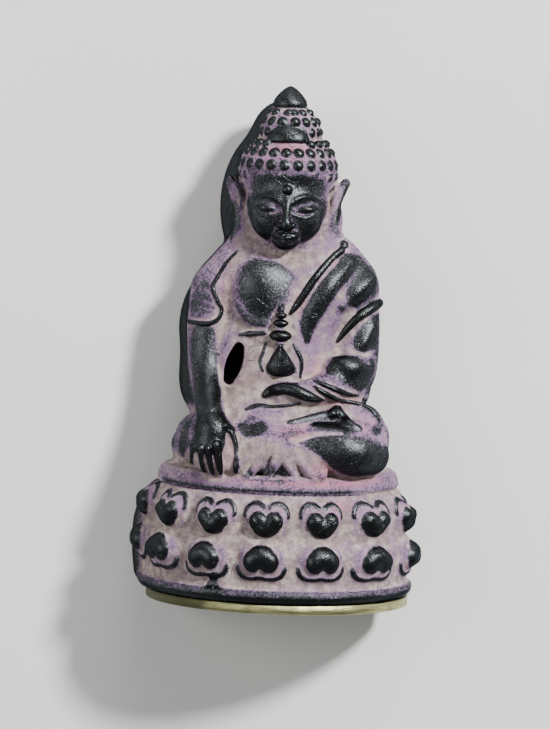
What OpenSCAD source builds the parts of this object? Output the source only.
// Amulet: a hollow cast seated Buddha on a double lotus throne, closed below by a brass plate.
// It lies on its back: X runs across it, Y from the plate up to the finial, Z from the back to the front.

/* [Base plate] */
// Thickness of the brass plate that closes the casting
plate_t = 0.7; // [0.5:0.05:1.2]
// How far the plate's edge stands in from the throne's lower rim
plate_inset = 0.3; // [0.1:0.05:0.8]
// Film between the casting and the plate
plate_film = 0.05; // [0.03:0.01:0.1]

/* [Lotus throne] */
// Width of the throne at its lower rim
throne_w = 20; // [16:0.5:26]
// Height of the throne from its lower rim to the groove under the seat
throne_h = 7.7; // [6.5:0.1:9]
// Front reach of the throne, from its widest line to the front of the lower rim
throne_front = 8.6; // [7:0.1:11]
// Depth behind the throne's widest line, to the flat back
throne_back = 3.6; // [3:0.1:5]
// Thickness of the seat slab on top of the throne
seat_t = 1.25; // [0.9:0.05:1.6]
// Angle between neighbouring petals
petal_pitch = 26; // [22:0.5:29]
// Angle by which the middle petal stands off the centre line
petal_turn = -3.6; // [-12:0.1:12]
// Width of the ridge round one petal
petal_w = 3; // [2.4:0.1:3.4]
// Width of the heart-shaped boss in one petal
boss_w = 2.35; // [1.7:0.05:2.5]
// How far a boss stands proud of the throne's wall
boss_proud = 1; // [0.6:0.05:1.2]

/* [Body] */
// Width over the shoulders
body_w = 14; // [12:0.5:17]
// Height from the seat to the chin
body_h = 16; // [14:0.5:19]
// Depth from the back to the front of the shins
body_d = 12; // [10.5:0.5:14]
// Width over the knees, at the seat
knee_w = 15.8; // [14:0.2:18]

/* [Head] */
// Width of the hair cap
head_w = 7.4; // [6.2:0.1:9]
// Height from the chin to the tip of the finial
head_h = 11.5; // [10:0.5:14]
// Depth from the back of the head to the face
head_d = 8; // [7:0.5:9.5]
// How far the back of the head stands in front of the amulet's back
head_back = 1; // [0.5:0.1:1.5]
// Diameter of one hair curl
curl_d = 0.8; // [0.6:0.05:1]
// Sideways shift of the smooth back half of the casting against its front half
back_shift = -0.45; // [-0.8:0.05:0.8]

/* [Hollow] */
// Wall of the throne
throne_wall = 1.7; // [1.2:0.1:2.2]
// Wall of the body
body_wall = 1.9; // [1.6:0.1:2.4]
// Width of the slot between the bare arm and the side
slot_w = 1.2; // [0.7:0.05:1.35]
// Length of the slot between the bare arm and the side
slot_l = 3.2; // [2:0.1:4]

/* [Hidden] */

metal = "#3a3a3f";
brass = "#b49a55";

PERCENT = 0.01;
LIMB_SIDES = 9;
CORD_SIDES = 6;
BALL_FN = 14;
THRONE_FN = 36;

// The whole height sits evenly about the origin
total_h = plate_t + plate_film + throne_h + seat_t + body_h + head_h;
foot_y = -total_h / 2;
rim_y = foot_y + plate_t + plate_film;
seat_y = rim_y + throne_h + seat_t;
chin_y = seat_y + body_h;
throne_ratio = throne_front / (throne_w / 2);
back_ratio = 0.46;

// Half width of the throne: height as a percent of throne_h, half width as a percent of half throne_w
THRONE = [
    [0, 96], [5, 99.5], [11, 99.5], [16, 95], [42, 96], [60, 92.5], [78, 92.5], [92, 89], [100, 87],
];
// The seat slab on top: height as a percent of seat_t, half width as a percent of half throne_w
SEAT = [[8, 84.5], [24, 86.5], [100, 82.5]];

// Rows of a limb or cord on the body: across in percent of body_w, up in percent of body_h,
// deep in percent of body_d, radius in percent of body_w
BARE_ARM = [
    [-33, 80, 36, 15.5], [-37.5, 60, 39, 12], [-38.5, 44, 47, 9.5], [-36, 28, 69, 6.8], [-35, 19, 80, 7.2],
];
ROBED_ARM = [[32, 80, 36, 16], [35.5, 60, 38, 13.5], [35.5, 45, 43, 12.5], [31, 40, 52, 11.5]];
FOREARM = [[33.5, 44, 51, 10.8], [23, 39, 66, 8.2], [11, 37, 72, 6.4], [0, 36, 71, 5.6]];
SHOULDER_SLOPES = [
    [[-11.5, 99, 36.4, 13.8], [-20, 93, 35.2, 14.8], [-28.6, 83.4, 34.4, 15.6]],
    [[12.2, 99.2, 36.3, 13.9], [22.3, 94.7, 36.8, 14.3], [30.5, 85.2, 37.4, 15.4]],
];
ROBE_EDGE = [[29.5, 99, 49, 1.8], [20, 92.5, 60, 2], [10.5, 81, 67, 2], [3.2, 72, 68, 1.5]];
ROBE_FOLD = [[35, 94, 50, 3.6], [23, 84, 62, 5.4], [12, 70, 65, 4.6], [9, 62, 64, 2.8]];
SLEEVE_FOLD = [[49, 77, 35, 2.4], [42, 73, 50, 2.6], [33.5, 65, 61, 2.3], [28, 58, 63.5, 1.4]];
SHAWL_CORD = [
    [-25.5, 93, 46, 1.2], [-32, 86, 53, 1.2], [-35.5, 79, 56.5, 1.2], [-32.5, 73, 58, 1.3],
    [-31.5, 69, 58, 1.3], [-36, 65, 57, 1.4], [-43, 64, 51, 1.4], [-49, 65, 41, 1.2],
];
WAIST_EDGE = [[-22, 61.5, 55, 1.5], [-15, 62, 60.5, 1.7], [-9.2, 63.1, 63, 1.5]];
LAP_FINGERS = [
    [-9, 35, 73, 2], [-3.5, 38, 76, 3.4], [4.5, 39, 77, 3.8], [13, 37.6, 76, 3.1], [19.5, 35.1, 74, 2],
];
LAP_PALM = [[-17, 29.5, 75, 1.6], [-10, 31.5, 77, 2], [2, 32.5, 78, 2], [8.5, 33.5, 76, 2]];
HEM_UPPER = [[18, 42.5, 68.5, 1.1], [27, 39, 68, 1.5], [36, 35, 62, 1.1]];
HEM_LOWER = [
    [18, 39.5, 72.5, 1], [30, 34.5, 72.5, 1.3], [43, 32, 60, 1.5], [50, 28, 52, 1.5], [53.5, 20.5, 50, 1.3],
];
INSTEP = [
    [6.5, 24.5, 82, 2.5], [18.5, 26.5, 85, 3.6], [28, 29, 85, 4], [33.5, 26.5, 83, 3.2], [38.5, 23, 80, 2.2],
];

// Rows of a leg at the seat: across in percent of knee_w, up in percent of body_h,
// deep in percent of body_d, radius in percent of body_h
LEG_BARE = [[-36, 13, 50, 12.5], [-20, 12.4, 68, 12], [3, 12.2, 74.3, 11.4]];
LEG_ROBED = [[37, 14.1, 54, 12.9], [30, 12.6, 72, 12.2], [-4, 12.6, 75.3, 11.8]];
SHIN = [[40, 10.5, 70, 9.3], [31, 13, 80, 10], [16, 17.5, 79, 6.5]];
LAP = [[-25, 21, 50, 12.5], [0, 24, 65, 12], [25, 24, 50, 13.5]];

// Fingers of the hand that touches the ground, each from knuckle to tip:
// across and up as above at both ends, then deep in percent of body_d at both ends
FINGERS = [
    [-42, 10.5, -43.4, 3, 83, 86], [-39, 10.5, -38.4, 2.4, 86, 88],
    [-35, 10.5, -33.4, 2, 87.5, 90], [-30.5, 12, -28.4, 2, 87.5, 90],
];
PALM = [[-34.5, 16, 81.5], [9.5, 10, 8]];
THUMB = [[-26.5, 20, 83], [-22.5, 13, 86.5], [-21.9, 4, 88.5]];
FINGER_R = 2.1;

// The robe's end, spread as a folded fan on the seat: across in percent of body_w and up in percent of
// body_h, where it starts and where each fold ends; depths in percent of body_d
FAN_ROOT = [-1, 19];
FAN_ENDS = [
    [-19, 6], [-14, 5], [-10, 2.5], [-6, 4.5], [-1.5, 1.8], [2.5, 4.5], [7, 1.8], [11, 4.5], [15, 1.8],
    [19.5, 4.3], [24, 2],
];
FAN_START = 92.5;
FAN_RIDGE = 90.2;
FAN_VALLEY = 86.2;
FAN_BEHIND = 80;

// Jar held before the chest, as heights and radii in percent of its height
JAR = [
    [0, 10], [4, 20], [14, 23], [24, 20], [38, 10], [49, 6], [53, 14.5], [59, 15.5], [65, 8],
    [69, 11.5], [75, 7], [79, 9], [85, 5], [90, 6], [100, 0],
];
JAR_FOOT = [-1.2, 43, 71];
JAR_H = 32;

// Rows of curls: up in percent of head_h, radius of the ring in percent of head_w,
// first and last angle from the front, and the angle between curls
CAP_CURLS = [
    [51.5, 46.5, 0, 88, 14.5], [59, 43.5, 7.2, 94, 14.5], [65.5, 37, 43, 86, 15],
    [44.5, 46.5, 64, 94, 15], [38, 42.5, 76, 92, 15],
];
KNOT_CURLS = [[84, 21, 0, 80, 26], [78, 26.5, 12, 90, 24], [72, 30, 46, 90, 22]];

// Vector helpers; corners of lofted solids are kept to whole steps
POINT_STEP = 0.001;
function snap(p) = [for (c = p) round(c / POINT_STEP) * POINT_STEP];
function unit(v) = v / norm(v);
function body_radii(r) = [r[0] * body_w, r[1] * body_h, r[2] * body_d] * PERCENT;
function head_radii(r) = [r[0] * head_w, r[1] * head_h, r[2] * head_d] * PERCENT;
function on_body(row) = body_radii(row) + [0, seat_y, 0];
function on_legs(row) = [row[0] * knee_w, row[1] * body_h, row[2] * body_d] * PERCENT + [0, seat_y, 0];
function on_head(row) = head_radii(row) + [0, chin_y, head_back];
function body_r(rows) = [for (row = rows) row[3] * body_w * PERCENT];

// Closed tube through centres, with a radius at each and rounded or pointed ends
ROUND_CAP = 0.72;
SIDE_HINT = [0.11, 0.07, 1];

module tube(centres, radii, sides, rounded = false) {
    last = len(centres) - 1;
    heading = [for (i = [0:last]) unit(centres[min(i + 1, last)] - centres[max(i - 1, 0)])];
    reach = [-heading[0] * radii[0], heading[last] * radii[last]];
    tips = [centres[0] + reach[0], centres[last] + reach[1]];
    caps = [centres[0] + reach[0] * ROUND_CAP, centres[last] + reach[1] * ROUND_CAP];
    mid = rounded ? concat([caps[0]], centres, [caps[1]]) : centres;
    r = rounded ? concat([radii[0] * ROUND_CAP], radii, [radii[last] * ROUND_CAP]) : radii;
    h = rounded ? concat([heading[0]], heading, [heading[last]]) : heading;
    u = [for (way = h) unit(cross(way, SIDE_HINT))];
    rings = len(mid);
    points = concat(
        [for (i = [0:rings - 1], k = [0:sides - 1])
            let (a = 360 * k / sides) snap(mid[i] + r[i] * (cos(a) * u[i] + sin(a) * cross(h[i], u[i])))],
        [for (t = tips) snap(t)]);
    faces = concat(
        [for (i = [0:rings - 2], k = [0:sides - 1])
            let (n = (k + 1) % sides) [i * sides + k, i * sides + n, (i + 1) * sides + n]],
        [for (i = [0:rings - 2], k = [0:sides - 1])
            let (n = (k + 1) % sides) [i * sides + k, (i + 1) * sides + n, (i + 1) * sides + k]],
        [for (k = [0:sides - 1]) [rings * sides, (k + 1) % sides, k]],
        [for (k = [0:sides - 1])
            [rings * sides + 1, (rings - 1) * sides + k, (rings - 1) * sides + (k + 1) % sides]]);
    polyhedron(points, [for (f = faces) [f[2], f[1], f[0]]]);
}

module body_limb(rows)
    tube([for (row = rows) on_body(row)], body_r(rows), LIMB_SIDES, rounded = true);

module body_cord(rows, sides = CORD_SIDES)
    tube([for (row = rows) on_body(row)], body_r(rows), sides);

module leg_limb(rows) {
    radii = [for (row = rows) row[3] * body_h * PERCENT];
    tube([for (row = rows) on_legs(row)], radii, LIMB_SIDES, rounded = true);
}

module ovoid(centre, radii, fn = BALL_FN)
    translate(centre) scale(radii) sphere(1, $fn = fn);

// Throne
function throne_half(share) = lookup(share, THRONE) * PERCENT * throne_w / 2;
// A point on the throne's wall at an angle from the front, a height share and a distance proud of it
function on_throne(angle, share, out) =
    let (reach = throne_half(share) + out, ratio = abs(angle) > 90 ? back_ratio : throne_ratio)
    [reach * sin(angle), rim_y + share * PERCENT * throne_h, throne_back + ratio * reach * cos(angle)];

// Solid through rings of the throne's plan, given as half width and height, from the lowest to the highest
module plan_solid(profile, back = 0) {
    rings = len(profile);
    points = [for (p = profile, k = [0:THRONE_FN - 1])
        let (a = 360 * k / THRONE_FN, ratio = cos(a) < 0 ? back_ratio : throne_ratio)
            snap([p[0] * sin(a), p[1], max(back, throne_back + ratio * p[0] * cos(a))])];
    faces = concat(
        [[for (k = [0:THRONE_FN - 1]) k]],
        [for (i = [0:rings - 2], k = [0:THRONE_FN - 1])
            let (n = (k + 1) % THRONE_FN) [i * THRONE_FN + k, (i + 1) * THRONE_FN + k, (i + 1) * THRONE_FN + n]],
        [for (i = [0:rings - 2], k = [0:THRONE_FN - 1])
            let (n = (k + 1) % THRONE_FN) [i * THRONE_FN + k, (i + 1) * THRONE_FN + n, i * THRONE_FN + n]],
        [[for (k = [THRONE_FN - 1:-1:0]) (rings - 1) * THRONE_FN + k]]);
    polyhedron(points, faces);
}

module throne_core() {
    wall = [for (p = THRONE) [p[1] * PERCENT * throne_w / 2, rim_y + p[0] * PERCENT * throne_h]];
    slab = [for (p = SEAT) [p[1] * PERCENT * throne_w / 2, rim_y + throne_h + p[0] * PERCENT * seat_t]];
    plan_solid(concat(wall, slab));
}

// Heart-shaped boss, round its outline: across and up in percent of boss_w
HEART = [
    [0, -40], [-30, -29], [-49, -2], [-44, 26], [-22, 37], [0, 18], [22, 37], [44, 26], [49, -2], [30, -29],
];
// Rings of the boss: size in percent of the outline, height in percent of boss_proud
BOSS_RINGS = [[109, -42], [96, 45], [58, 88]];
// Doubly arched ridge over an upright petal and bracket-shaped ridge under a hanging one:
// across and up in percent of petal_w
ARCH = [[-51, -4], [-45, 29], [-24, 44], [0, 36], [24, 44], [45, 29], [51, -4]];
BRACKET = [[-57, 10], [-48, 38], [0, 46], [48, 38], [57, 10]];
RIDGE_R = 6.5;
RIDGE_SIDES = 4;
RIDGE_SUNK = 0.01;
UPPER_ROW = 75.4;
LOWER_ROW = 41.4;
FIRST_PETAL = -3;
LAST_PETAL = 3;

module petal(angle, share, way, ridge) {
    deg = 180 / PI / throne_half(share);
    function spot(across, up, out) =
        snap(on_throne(angle + across * deg, share + way * up / PERCENT / throne_h, out));
    sides = len(HEART);
    rings = len(BOSS_RINGS);
    boss = boss_w * PERCENT;
    points = concat(
        [for (r = BOSS_RINGS, p = HEART)
            spot(p[0] * boss * r[0] * PERCENT, p[1] * boss * r[0] * PERCENT, r[1] * PERCENT * boss_proud)],
        [spot(0, 0, -boss_proud / 2), spot(0, 0, boss_proud)]);
    faces = concat(
        [for (i = [0:rings - 2], k = [0:sides - 1])
            let (n = (k + 1) % sides) [i * sides + k, i * sides + n, (i + 1) * sides + n]],
        [for (i = [0:rings - 2], k = [0:sides - 1])
            let (n = (k + 1) % sides) [i * sides + k, (i + 1) * sides + n, (i + 1) * sides + k]],
        [for (k = [0:sides - 1]) [rings * sides, (k + 1) % sides, k]],
        [for (k = [0:sides - 1])
            [rings * sides + 1, (rings - 1) * sides + k, (rings - 1) * sides + (k + 1) % sides]]);
    polyhedron(points, [for (f = faces) way > 0 ? f : [f[2], f[1], f[0]]]);
    line = ridge * petal_w * PERCENT;
    radii = [for (p = line) RIDGE_R * PERCENT * petal_w];
    tube([for (p = line) spot(p[0], p[1], -RIDGE_SUNK)], radii, RIDGE_SIDES);
}

module petals() {
    for (k = [FIRST_PETAL:LAST_PETAL]) {
        petal(petal_turn + k * petal_pitch, UPPER_ROW, 1, ARCH);
        petal(petal_turn + k * petal_pitch, LOWER_ROW, -1, BRACKET);
    }
}

module lotus_throne() {
    color(metal) {
        throne_core();
        petals();
    }
}

// Rounded masses of the torso, as place and radii in percent of body_w, body_h and body_d:
// chest, belly, breast, and the fold above the lap
MASSES = [
    [[0, 68, 36], [34, 33, 29]], [[-1, 44, 39], [30, 30, 29]],
    [[-12, 81, 51], [15.5, 16, 16.5]], [[5, 33, 52], [32, 12, 15]],
];

module torso() {
    color(metal) {
        for (mass = MASSES)
            ovoid(on_body(mass[0]), body_radii(mass[1]));
        for (slope = SHOULDER_SLOPES)
            body_limb(slope);
        body_cord(WAIST_EDGE);
    }
}

// Smooth back, as place and radii in percent of body_w, body_h and body_d, and behind the head
BACK = [[[-1, 62, 26], [51, 42, 26.5]], [[-2, 38, 26], [49.5, 30, 26.5]], [[0, 8, 28], [56, 20, 28]]];
HOOD = [[0, 29, 31], [58.5, 50, 33]];

module back_half() {
    color(metal) {
        for (i = [0:len(BACK) - 2])
            hull()
                for (row = [BACK[i], BACK[i + 1]])
                    ovoid(on_body(row[0]) + [back_shift * row[0][1] * PERCENT, 0, 0], body_radii(row[1]));
        ovoid(on_head(HOOD[0]) + [back_shift, 0, 0], head_radii(HOOD[1]));
    }
}

module arms() {
    color(metal) {
        body_limb(BARE_ARM);
        body_limb(ROBED_ARM);
        body_limb(FOREARM);
    }
}

module finger(from, to) {
    hull()
        for (row = [from, to])
            translate(on_body(row)) sphere(FINGER_R * PERCENT * body_w, $fn = CORD_SIDES);
}

module ground_hand() {
    color(metal) {
        ovoid(on_body(PALM[0]), body_radii(PALM[1]), fn = 12);
        for (f = FINGERS)
            finger([f[0], f[1], f[4]], [f[2], f[3], f[5]]);
        finger(THUMB[0], THUMB[1]);
        finger(THUMB[1], THUMB[2]);
    }
}

module fan() {
    ends = len(FAN_ENDS);
    function front(i) = concat(FAN_ENDS[i], [i % 2 == 0 ? FAN_RIDGE : FAN_VALLEY]);
    points = [for (row = concat(
        [concat(FAN_ROOT, [FAN_START]), concat(FAN_ROOT, [FAN_BEHIND])],
        [for (i = [0:ends - 1]) front(i)],
        [for (i = [0:ends - 1]) concat(FAN_ENDS[i], [FAN_BEHIND])])) snap(on_body(row))];
    faces = concat(
        [for (i = [2:ends]) [0, i + 1, i]],
        [for (i = [2:ends]) [1, i + ends, i + ends + 1]],
        [for (i = [2:ends]) [i, i + 1, i + ends + 1]],
        [for (i = [2:ends]) [i, i + ends + 1, i + ends]],
        [[0, 2, 2 + ends], [0, 2 + ends, 1], [0, 1, 1 + 2 * ends], [0, 1 + 2 * ends, 1 + ends]]);
    polyhedron(points, faces);
}

module robe() {
    color(metal) {
        body_cord(ROBE_EDGE);
        body_cord(ROBE_FOLD, 8);
        body_cord(SLEEVE_FOLD);
        body_cord(SHAWL_CORD);
        body_cord(HEM_UPPER);
        body_cord(HEM_LOWER);
        fan();
    }
}

module legs() {
    color(metal) {
        leg_limb(LEG_BARE);
        leg_limb(LEG_ROBED);
        leg_limb(SHIN);
        leg_limb(LAP);
        body_cord(INSTEP, 8);
    }
}

module lap_hand() {
    color(metal) {
        body_cord(LAP_FINGERS, 8);
        body_cord(LAP_PALM);
    }
}

module jar() {
    jar_h = JAR_H * PERCENT * body_h;
    color(metal) translate(on_body(JAR_FOOT)) rotate([-90, 0, 0])
        rotate_extrude($fn = 10) polygon(concat([for (p = JAR) [p[1], p[0]] * PERCENT * jar_h], [[0, 0]]));
}

// Face, the same on both sides: place, and radii, in percent of head_w, head_h and head_d
FACE = [[-2, 27, 51], [39.5, 30, 47.5]];
CHIN = [[-2, 4, 79], [13, 5, 12]];
NOSE = [[[-2, 31, 93], [3, 3, 6]], [[-2, 18, 100], [5, 2.2, 6]], [[-2, 17, 91], [9, 2.2, 6]]];
EYELID = [[16, 27, 89], [9, 2.6, 8]];
BROW_MARK = [[-2, 37.5, 96], [4, 2.6, 4.6]];
// Brows and lips as cords, with radii in percent of head_w; each lip's height and depth at its middle
BROW = [[4, 31, 95, 2.4], [14, 34.5, 93, 2.8], [27, 31.5, 83, 1.8]];
LIP_ROWS = [[11.6, 95.5, 1], [9, 93.5, 1.2]];
LIP = [[-11, 1.5], [-4, 3], [4, 3], [11, 1.5]];
LIP_BEND = 0.4;

function on_face(row, side) = on_head([FACE[0][0] + side * row[0], row[1], row[2]]);

module face() {
    color(metal) {
        ovoid(on_head(FACE[0]), head_radii(FACE[1]), fn = 18);
        ovoid(on_head(CHIN[0]), head_radii(CHIN[1]), fn = 8);
        hull()
            for (part = NOSE)
                ovoid(on_head(part[0]), head_radii(part[1]), fn = 6);
        for (side = [-1, 1]) {
            ovoid(on_face(EYELID[0], side), head_radii(EYELID[1]), fn = 8);
            tube([for (p = BROW) on_face(p, side)], [for (p = BROW) p[3] * PERCENT * head_w], 4);
        }
        for (row = LIP_ROWS)
            tube([for (p = LIP) on_face([p[0], row[0], row[1] - abs(p[0]) * LIP_BEND], 1)],
                [for (p = LIP) p[1] * row[2] * PERCENT * head_w], 5);
        ovoid(on_head(BROW_MARK[0]), head_radii(BROW_MARK[1]), fn = 6);
    }
}

// Long ears, from the tip down to the lobe: across, up and deep in percent of head_w, head_h and head_d,
// radius in percent of head_w; then the metal that joins both ears and the neck
EARS = [
    [[-57, 39, 44, 4.5], [-52, 30, 50, 6], [-47, 20, 53, 5], [-47, 5, 52, 6]],
    [[57, 40, 44, 4.5], [52, 31, 50, 6], [50, 20, 53, 5], [53, 4, 52, 6]],
];
EAR_WEB = [[0, 18, 41], [56, 25, 22]];

module ears() {
    color(metal) {
        for (ear = EARS)
            tube([for (p = ear) on_head(p)], [for (p = ear) p[3] * PERCENT * head_w], CORD_SIDES);
        ovoid(on_head(EAR_WEB[0]), head_radii(EAR_WEB[1]));
    }
}

// Hair cap and topknot: sideways place, and radii in percent of head_w, head_h and head_d
CAP_MIDDLE = -1.5;
CAP_R = [48.5, 23.5, 47.5];
KNOT_MIDDLE = -1;
KNOT_R = [33, 19, 30];
HAIR_DEEP = 49;
// Plain jewel at the foot of the topknot
JEWEL = [[-3, 67.5, 76], [19, 7, 9]];

module hair() {
    color(metal) {
        ovoid(on_head([CAP_MIDDLE, 49, HAIR_DEEP]), head_radii(CAP_R), fn = 16);
        ovoid(on_head([KNOT_MIDDLE, 71, HAIR_DEEP]), head_radii(KNOT_R));
        ovoid(on_head(JEWEL[0]), head_radii(JEWEL[1]), fn = 10);
    }
}

// Height and top of a curl as shares of its diameter
CURL_TALL = 0.4;
CURL_TOP = 0.55;

module curl_rows(rows, middle, flat_ratio) {
    for (row = rows, side = [-1, 1], a = [row[2]:row[4]:row[3]])
        if (a > 0 || side > 0) {
            reach = row[1] * PERCENT;
            translate(on_head([middle, row[0], HAIR_DEEP])
                + [side * reach * sin(a) * head_w, 0, reach * flat_ratio * cos(a) * head_d])
                rotate([0, side * a, 0])
                    cylinder(h = curl_d * CURL_TALL, d1 = curl_d, d2 = curl_d * CURL_TOP, $fn = CORD_SIDES);
        }
}

module curls() {
    color(metal) {
        curl_rows(CAP_CURLS, CAP_MIDDLE, CAP_R[2] / CAP_R[0]);
        curl_rows(KNOT_CURLS, KNOT_MIDDLE, KNOT_R[2] / KNOT_R[0]);
    }
}

// Finial bud on the topknot, as heights and radii in percent of its height
FINIAL = [[0, 68], [20, 84], [38, 80], [60, 58], [82, 26], [100, 4]];
FINIAL_H = 14;

module finial() {
    tall = FINIAL_H * PERCENT * head_h;
    color(metal) translate(on_head([KNOT_MIDDLE, 100 - FINIAL_H, HAIR_DEEP])) rotate([-90, 0, 0])
        rotate_extrude($fn = 10)
            polygon(concat([[0, 0]], [for (p = FINIAL) [p[1], p[0]] * PERCENT * tall], [[0, tall]]));
}

// Hollow inside the casting, open at the bottom: how high the throne's room reaches in percent of throne_h,
// then the rooms above it as place and radii in percent of body_w, body_h and body_d
HOLLOW_TOP = 70;
HOLLOW_LAP = [[0, 12, 46], [36, 6, 24]];
HOLLOW_WAIST = [[0, 5, 44], [34, 6, 24]];
HOLLOW_CHEST = [[-1.5, 55, 33], [50, 24, 36]];
CHEST_WALLS = [1.45, 0, 1];

module hollow() {
    low_half = throne_half(0) - throne_wall;
    top_half = throne_half(HOLLOW_TOP) - throne_wall;
    top_y = rim_y + HOLLOW_TOP * PERCENT * throne_h;
    below_y = rim_y - throne_wall;
    hull() {
        plan_solid([[low_half, below_y], [top_half, top_y]], throne_wall);
        ovoid(on_body(HOLLOW_LAP[0]), body_radii(HOLLOW_LAP[1]), fn = 10);
    }
    hull() {
        ovoid(on_body(HOLLOW_WAIST[0]), body_radii(HOLLOW_WAIST[1]), fn = 10);
        ovoid(on_body(HOLLOW_CHEST[0]), body_radii(HOLLOW_CHEST[1]) - CHEST_WALLS * body_wall);
    }
}

// Slot between the bare arm and the side, through the front wall into the hollow
SLOT_AT = [-24.5, 48, 30];
SLOT_LEAN = -18;

module arm_slot() {
    translate(on_body(SLOT_AT)) rotate(SLOT_LEAN)
        linear_extrude(body_d)
            scale([slot_w / slot_l, 1]) circle(d = slot_l, $fn = 24);
}

module casting() {
    difference() {
        union() {
            lotus_throne();
            back_half();
            torso();
            legs();
            arms();
            ground_hand();
            lap_hand();
            robe();
            jar();
            face();
            ears();
            hair();
            curls();
            finial();
        }
        hollow();
        arm_slot();
    }
}

module base_plate() {
    half = throne_half(0) - plate_inset;
    top_y = foot_y + plate_t;
    color(brass) plan_solid([[half, foot_y], [half, top_y]]);
}

casting();
base_plate();
